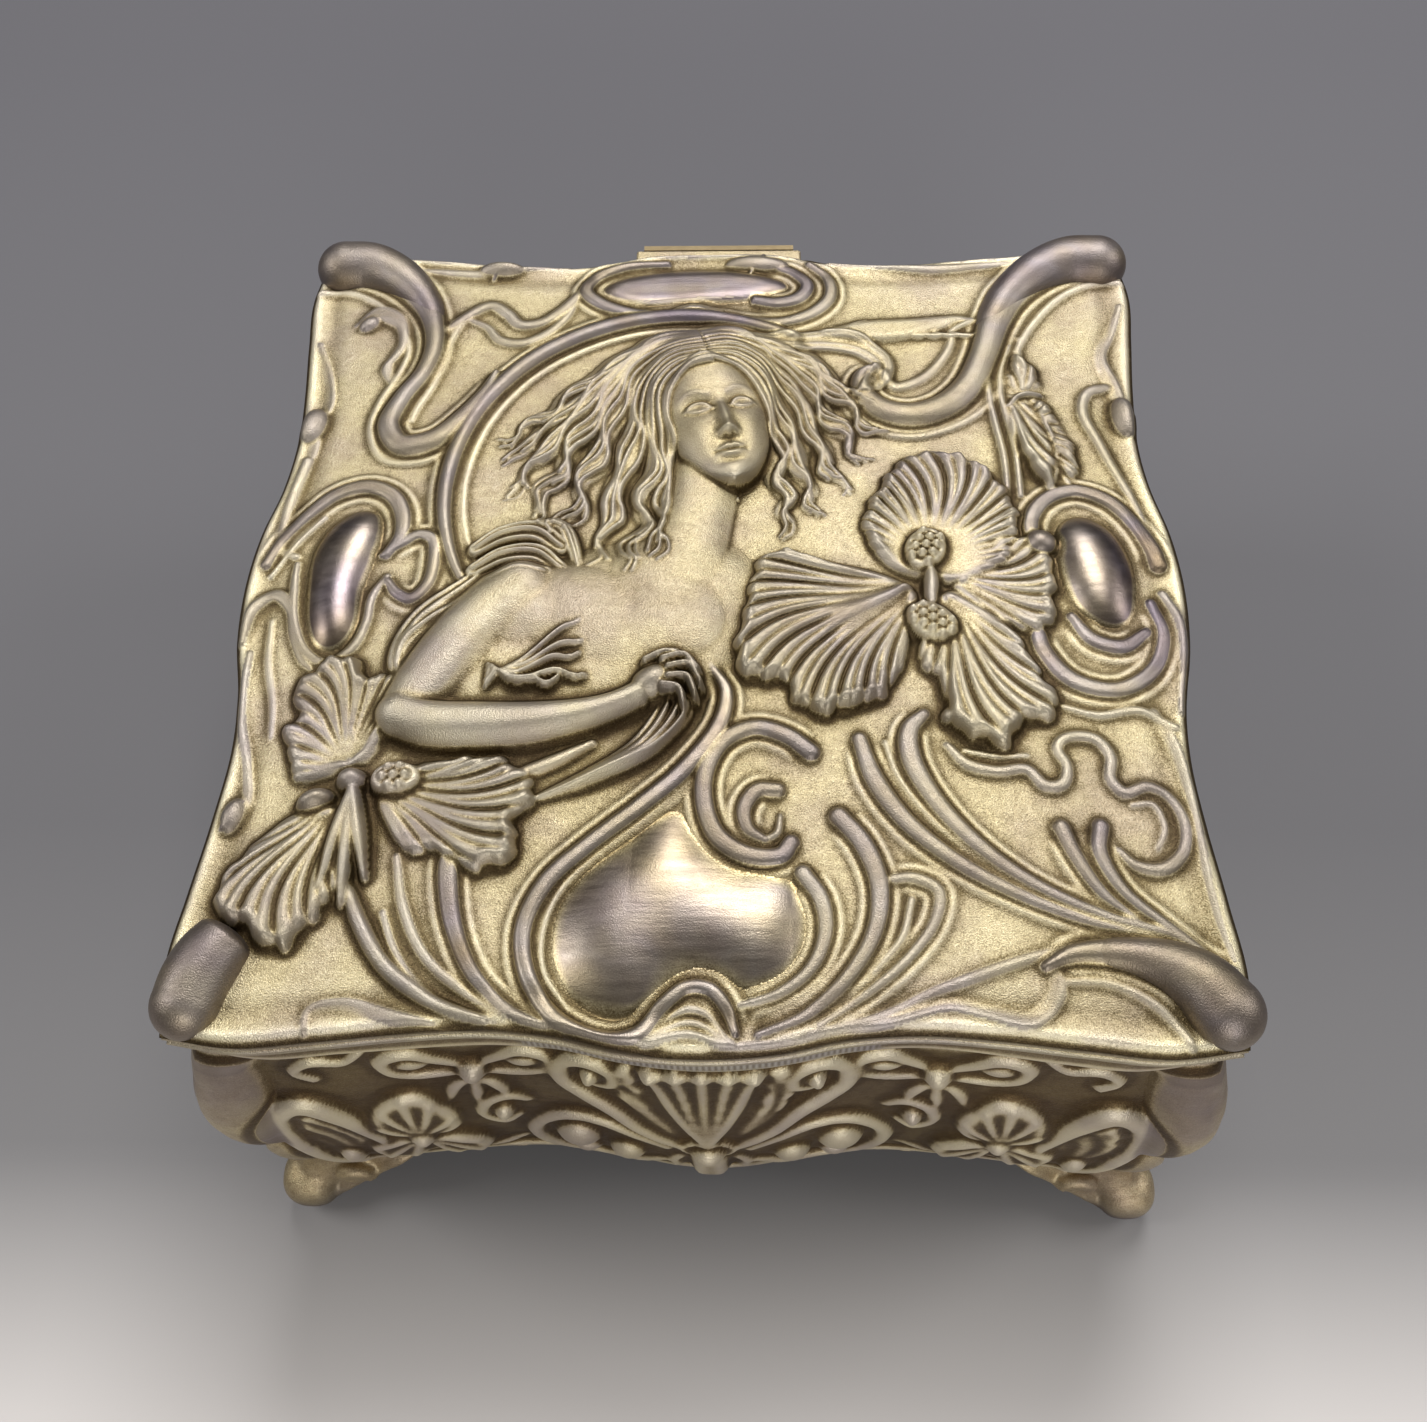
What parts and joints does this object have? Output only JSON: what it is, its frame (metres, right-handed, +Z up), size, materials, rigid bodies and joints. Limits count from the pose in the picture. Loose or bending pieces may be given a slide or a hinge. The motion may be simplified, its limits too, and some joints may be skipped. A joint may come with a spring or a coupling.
{
  "type": "jewelry casket",
  "caption": "Square cast-metal jewel casket with a hinged relief lid, corner lobes, bracket feet and a padded silk lining.",
  "frame": {"origin": "on the ground plane under the middle of the casket", "axes": "+Z up; +Y towards the hinge at the back; +X to the right as seen from the front"},
  "size_m": [0.1716, 0.1716, 0.1043],
  "materials": {
    "gilt_metal": "cast, gilt, worn and toned",
    "plate_metal": "rolled sheet, dull",
    "screw_metal": "turned, dull",
    "hinge_metal": "satin, worn",
    "felt": "wool felt",
    "board": "plain card",
    "silk": "faded silk satin",
    "silk_cord": "twisted silk"
  },
  "bodies": {
    "box": {"body_shell": "gilt_metal", "foot_front_left": "gilt_metal", "foot_front_right": "gilt_metal", "foot_rear_left": "gilt_metal", "foot_rear_right": "gilt_metal", "base_plate": "plate_metal", "base_felt": "felt", "foot_screws": "screw_metal", "hinge_leaf_body": "hinge_metal", "hinge_pin": "hinge_metal", "hinge_rivets_body": "hinge_metal", "floor_board": "board", "floor_cushion": "silk", "wall_lining_front": "silk", "wall_lining_back": "silk", "wall_lining_left": "silk", "wall_lining_right": "silk", "lining_cord": "silk_cord"},
    "lid": {"lid_shell": "gilt_metal", "hinge_leaf_lid": "hinge_metal", "hinge_rivets_lid": "hinge_metal", "lid_lining_board": "board", "lid_lining_pad": "silk"}
  },
  "joints": [
    {"name": "lid_hinge", "type": "hinge", "parent": "box", "child": "lid", "pos_m": [0, 0.0839, 0.09], "axis": [-1, 0, 0], "range_deg": [0, 100]}
  ]
}
